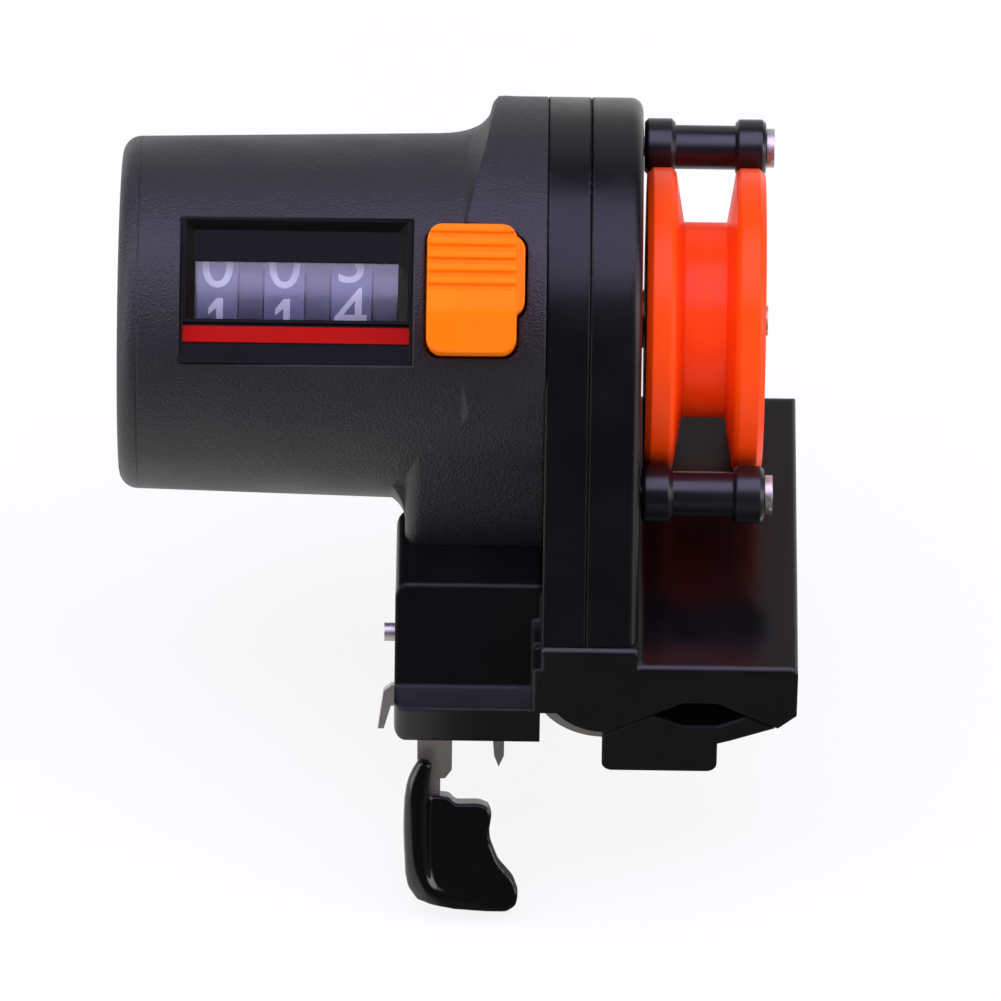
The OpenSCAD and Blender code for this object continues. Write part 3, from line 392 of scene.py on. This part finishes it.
def print_drum(label, glyphs):
    """Ten numerals round one drum, each higher one further down the reading face."""
    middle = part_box(label + "_drum")[0].x + BAND_W / 2
    if label != "hundreds":
        middle += DRIVER_W
    copies = []
    for digit, glyph in enumerate(glyphs):
        copy = glyph.copy()
        copy.data = glyph.data.copy()
        bpy.context.collection.objects.link(copy)
        turn = READING_ANGLE + (READING[label] - digit) * math.tau / DIGITS
        for corner in copy.data.vertices:
            corner.co = round_drum(middle + corner.co.x, DRUM_R, turn + corner.co.y / DRUM_R)
        copies.append(copy)
    take_up(*copies)
    bpy.ops.object.join()
    ring = bpy.context.object
    ring.name = label + "_numerals"
    wall = ring.modifiers.new("print", "SOLIDIFY")
    wall.thickness = PRINT_T
    wall.offset = 1.0
    bpy.ops.object.modifier_apply(modifier="print")
    coat(ring, "print")
    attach(ring, label)


BUTTON_TOP = 28.05 * MM
BUTTON_H = 16.4 * MM
SLOPE_LEN = 5.0 * MM
SLOPE_ANGLE = math.radians(27)


def ribbed_button():
    """Reset button with a sloping lower face and moulded, rounded edges."""
    piece = dressed("reset_button", "reset_button_cap", "button", "button")
    bpy.ops.object.mode_set(mode="EDIT")
    bpy.ops.mesh.select_all(action="SELECT")
    bpy.ops.mesh.bisect(
        plane_co=AXLE + FACING * BUTTON_TOP + UPHILL * (SLOPE_LEN - BUTTON_H / 2),
        plane_no=FACING * math.cos(SLOPE_ANGLE) - UPHILL * math.sin(SLOPE_ANGLE),
        use_fill=True, clear_outer=True)
    bpy.ops.object.mode_set(mode="OBJECT")
    soften(piece, grid_mm=0.16, passes=7)


def button_coil():
    """The button's coil spring, a merged steel copy of its node with a mesh of its own."""
    piece = dressed("button_spring", "button_spring_coil", "counter_body", "steel")
    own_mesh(piece)


LEVER_AT = Vector((-35.23, -13.743, -6.0))
LEVER_TILT = math.radians(-30)
GRIP_HALF = 1.65
# Across and along the lever, in millimetres
GRIP_OUTLINE = (
    (-3.1, -15.6), (-3.2, -19.8), (-2.9, -26), (-2.5, -27.9), (-1.3, -29.6), (0.7, -30.4),
    (3.5, -30.9), (7.9, -31.2), (10.5, -31.2), (11.8, -30.3), (12, -28.7), (11.3, -26.8),
    (9.3, -24.5), (8.2, -21.7), (8.1, -20), (8.4, -18.2), (8, -16.9), (6.7, -16.4),
    (3.5, -16.5), (2.9, -15.6), (-0.3, -15.2))
# Across, along, out towards the front and radius of the thick bent edge, in millimetres
GRIP_EDGE = (
    (-0.3, -10.4, 2.2, 1.0), (-1.2, -12.6, 1.9, 1.5), (-1.45, -15.7, 1.7, 1.75),
    (-1.5, -20, 1.5, 1.75), (-1.2, -25.5, 1.2, 1.75), (-0.5, -27.8, 1.0, 1.7),
    (1.2, -29.0, 0.8, 1.5), (4, -29.5, 0.6, 1.35), (8, -29.9, 0.5, 1.25), (10.3, -29.7, 0.4, 1.25))


def on_lever(across, along, out):
    """Point in metres from millimetres across, along and out from the sloping lever."""
    return (LEVER_AT + Matrix.Rotation(LEVER_TILT, 3, "X") @ Vector((across, -out, along))) * MM


def bent_edge():
    """The thick edge of the grip, a round bar of changing thickness."""
    path = bpy.data.curves.new("bent_edge", "CURVE")
    path.dimensions = "3D"
    path.bevel_depth = MM
    path.bevel_resolution = 5
    path.use_fill_caps = True
    run = path.splines.new("NURBS")
    run.points.add(len(GRIP_EDGE) - 1)
    for point, (across, along, out, r) in zip(run.points, GRIP_EDGE):
        point.co = (*on_lever(across, along, out), 1)
        point.radius = r
    run.use_endpoint_u = True
    run.order_u = 3
    edge = new_object("bent_edge", path)
    bpy.ops.object.convert(target="MESH")
    return edge


def dipped_grip():
    """Vinyl-dipped lever handle: a flat blade with a thick bent edge, under one rounded skin."""
    piece = lofted("lever_grip_dip", [[on_lever(across, along, out) for across, along in GRIP_OUTLINE]
                                      for out in (-GRIP_HALF, GRIP_HALF)])
    take_up(piece, bent_edge())
    bpy.ops.object.join()
    face_outwards()
    soften(piece, grid_mm=0.22, passes=24)
    coat(piece, "vinyl")
    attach(piece, "clamp")
    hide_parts("lever_grip")


# Flange and barrel in millimetres, as in the solids
FLANGE_BACK = -27.2
FRAME_R = 29.0
FRAME_OFF = 5.25
FRAME_OFF_ANGLE = math.pi / 4
ROOT_R = 24.05
SWEEP_R = 6.5
SWEEP_SINK = 0.5
BARREL_DRAFT = math.tan(math.radians(1.3))
# The fairing goes round from the back to just past the top, and stands a hair over the solids
FAIRING_DEGREES = range(-34, 108, 2)
FAIRING_LIFT = 0.05
FAIRING_FRONT = 0.75
FAIRING_REACH = 6.2
FULL_STEP = 4.45
CORNER_MOST = 1.5
CORNER_SHARE = 0.7
LEAD_IN = 2.0
UNDER_SKIN = 0.12
OVER_SKIN = 0.02
BURIED = 1.0
RIM_FLAT = 0.5
RIM_FALL = 0.2
RUN_OUT = 3.0
SWEEP_PARTS = 10
CORNER_PARTS = 6


def fairing_profile(angle):
    """The fairing's closed outline at one angle round the axle, as places along and out from it."""
    off = FRAME_OFF * math.cos(angle + FRAME_OFF_ANGLE)
    rim = off + math.sqrt(FRAME_R ** 2 - FRAME_OFF ** 2 + off ** 2) + FAIRING_LIFT
    step = rim - ROOT_R
    short = max(SWEEP_R - SWEEP_SINK - step, 0)
    face = FLANGE_BACK - FAIRING_FRONT - (SWEEP_R - math.sqrt(SWEEP_R ** 2 - short ** 2))
    corner = min(CORNER_MOST, CORNER_SHARE * step)
    reach = FAIRING_REACH * min(1, math.sqrt(step / FULL_STEP))
    first = face - reach - LEAD_IN
    skin = ROOT_R + (first - FLANGE_BACK) * BARREL_DRAFT
    outline = [(first, skin - BURIED), (first, skin - UNDER_SKIN)]
    for part in range(SWEEP_PARTS + 1):
        turn = math.pi / 2 * part / SWEEP_PARTS
        draft = (face - reach - FLANGE_BACK) * BARREL_DRAFT * (1 - part / SWEEP_PARTS)
        outline.append((face - reach + reach * math.sin(turn),
                        ROOT_R + OVER_SKIN + (step - corner) * (1 - math.cos(turn)) + draft))
    for part in range(1, CORNER_PARTS + 1):
        turn = math.pi / 2 * part / CORNER_PARTS
        outline.append((face + corner * (1 - math.cos(turn)), rim - corner + corner * math.sin(turn)))
    last = face + corner + RUN_OUT
    return outline + [(face + corner + RIM_FLAT, rim), (last, rim - RIM_FALL),
                      (last, rim - RIM_FALL - BURIED), (face + corner, ROOT_R - BURIED)]


def flange_fairing():
    """Moulded sweep from the barrel up to the flange, with the flange's rounded rim."""
    rings = []
    for degree in FAIRING_DEGREES:
        angle = math.radians(degree)
        rings.append([(x * MM, AXLE.y + r * MM * math.cos(angle), AXLE.z + r * MM * math.sin(angle))
                      for x, r in fairing_profile(angle)])
    piece = lofted("flange_fairing", rings)
    coat(piece, "grain")
    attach(piece, "counter_body")


# Ends of the dividers along the barrel, and their radii round the drums, in millimetres
DIVIDER_SPANS = {"left": (-60.35, -57.3), "middle": (-51.7, -48.65), "right": (-43.05, -39.9)}
DIVIDER_IN = 10.4
DIVIDER_OUT = 10.85
DIVIDER_LIP = 12.7


def drum_dividers():
    """Curved dividers behind the bezel that close the gaps between the number drums."""
    outline = [(DIVIDER_IN, degree) for degree in range(-28, 29, 4)]
    outline += [(DIVIDER_LIP, 28), (DIVIDER_LIP, 25)]
    outline += [(DIVIDER_OUT, degree) for degree in range(24, -25, -4)]
    outline += [(DIVIDER_LIP, -25), (DIVIDER_LIP, -28)]
    for label, ends in DIVIDER_SPANS.items():
        piece = lofted(label + "_drum_divider",
                       [[round_drum(x * MM, r * MM, READING_ANGLE + math.radians(degree))
                         for r, degree in outline] for x in ends])
        coat(piece, "divider")
        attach(piece, "counter_body")


glyphs = [numeral(digit) for digit in range(DIGITS)]
for label in ("hundreds", "tens", "units"):
    print_drum(label, glyphs)
for glyph in glyphs:
    bpy.data.objects.remove(glyph)
ribbed_button()
button_coil()
dipped_grip()
flange_fairing()
drum_dividers()

FLOOR_DROP = 0.6 * MM
FLOOR_SIZE = 6
FLOOR_GLOW = 0.85
MIRROR_DIM = 0.12


def pale_floor():
    """White floor that keeps the shadow. Glossy faces see it pale behind and at the left, dim in front."""
    take_up()
    bpy.ops.mesh.primitive_plane_add(size=FLOOR_SIZE, location=(0, 0, cad_box[0].z - FLOOR_DROP))
    floor = bpy.context.object
    floor.name = "floor"
    material, tree = new_material("pale_backdrop")
    rays = add(tree, "ShaderNodeLightPath")
    place = add(tree, "ShaderNodeTexCoord")
    along = add(tree, "ShaderNodeSeparateXYZ", {0: place.outputs["Object"]})
    behind = add(tree, "ShaderNodeMapRange", {"Value": along.outputs["Y"],
                 "From Min": -10 * MM, "From Max": 10 * MM, "To Min": MIRROR_DIM, "To Max": 0.9})
    beside = add(tree, "ShaderNodeMapRange", {"Value": along.outputs["X"],
                 "From Min": -33 * MM, "From Max": -39 * MM, "To Min": MIRROR_DIM, "To Max": 0.95})
    mirrored = add(tree, "ShaderNodeMath", {0: behind.outputs["Result"],
                   1: beside.outputs["Result"]}, operation="MAXIMUM")
    level = add(tree, "ShaderNodeMath", {0: rays.outputs["Is Camera Ray"],
                1: mirrored.outputs["Value"]}, operation="MAXIMUM")
    direct = add(tree, "ShaderNodeMath", {0: rays.outputs["Is Camera Ray"], 1: FLOOR_GLOW},
                 operation="MULTIPLY")
    bounced = add(tree, "ShaderNodeMath", {0: rays.outputs["Is Glossy Ray"],
                  1: rays.outputs["Is Transmission Ray"]}, operation="MAXIMUM")
    share = add(tree, "ShaderNodeMath", {0: direct.outputs["Value"], 1: bounced.outputs["Value"]},
                operation="MAXIMUM")
    matt = add(tree, "ShaderNodeBsdfDiffuse", {"Color": linear("#f4f4f4")})
    glow = add(tree, "ShaderNodeEmission", {"Color": linear("#ffffff"),
               "Strength": level.outputs["Value"]})
    both = add(tree, "ShaderNodeMixShader", {0: share.outputs["Value"], 1: matt.outputs["BSDF"],
               2: glow.outputs["Emission"]})
    add(tree, "ShaderNodeOutputMaterial", {"Surface": both.outputs["Shader"]})
    floor.data.materials.append(material)


def studio_room():
    """A dim room that is pale behind and low down, as a studio's backdrop is."""
    world = bpy.data.worlds.new("studio")
    world.use_nodes = True
    tree = world.node_tree
    tree.nodes.clear()
    heading = add(tree, "ShaderNodeTexCoord")
    facing = add(tree, "ShaderNodeSeparateXYZ", {0: heading.outputs["Generated"]})
    backdrop = add(tree, "ShaderNodeMapRange", {"Value": facing.outputs["Y"],
                   "From Min": 0.6, "From Max": 0.76, "To Min": 0.06, "To Max": 0.7})
    air = add(tree, "ShaderNodeBackground", {"Color": linear("#f2eef2"),
              "Strength": backdrop.outputs["Result"]})
    add(tree, "ShaderNodeOutputWorld", {"Surface": air.outputs["Background"]})
    bpy.context.scene.world = world


def softbox(name, place, aim, size, watts, colour):
    """A flat soft lamp, aimed at a point."""
    lamp = bpy.data.lights.new(name, "AREA")
    lamp.shape = "RECTANGLE"
    lamp.size, lamp.size_y = size
    lamp.energy = watts
    lamp.color = linear(colour)[:3]
    holder = bpy.data.objects.new(name, lamp)
    holder.location = place
    holder.rotation_euler = (Vector(aim) - Vector(place)).to_track_quat("-Z", "Y").to_euler()
    bpy.context.collection.objects.link(holder)
    return holder


# Lamps in metres: the overhead one ends where the window's pane stops mirroring it
LIT_MIDDLE = (-0.03, 0, 0.03)
CARD_SIZE = (0.45, 0.6)
pale_floor()
studio_room()
softbox("overhead", (-0.026, -0.039, 0.62), (-0.026, -0.039, 0), (1.3, 0.5775), 7.4, "#d9d0ff")
softbox("left_card", (-0.75, -0.12, 0.22), LIT_MIDDLE, CARD_SIZE, 3.0, "#fff6f2")
softbox("right_card", (0.69, -0.12, 0.22), LIT_MIDDLE, CARD_SIZE, 3.0, "#fff6f2")
fill = softbox("front_fill", (-0.03, -1.0, 0.5), LIT_MIDDLE, (1.0, 0.8), 3.4, "#fff4ea")
fill.visible_glossy = False

ROLL = math.radians(0.8)
ELEVATION = math.radians(45.0)
DISTANCE = 1.6
PX_PER_MM = 7.66
FRAME_PX = 1001
SENSOR_MM = 36
AIM = Vector((-26.25, 0.0, 13.62)) * MM

camera_data = bpy.data.cameras.new("camera")
camera_data.sensor_width = SENSOR_MM
camera_data.lens = PX_PER_MM * DISTANCE / MM * SENSOR_MM / FRAME_PX
camera_data.clip_start = 0.01
camera = bpy.data.objects.new("camera", camera_data)
back = Vector((0, -math.cos(ELEVATION), math.sin(ELEVATION)))
camera.location = AIM + back * DISTANCE
upright = (-back).to_track_quat("-Z", "Y").to_matrix()
camera.rotation_euler = (upright @ Matrix.Rotation(ROLL, 3, "Z")).to_euler()
bpy.context.collection.objects.link(camera)
bpy.context.scene.camera = camera
bpy.context.scene.view_settings.view_transform = "Standard"
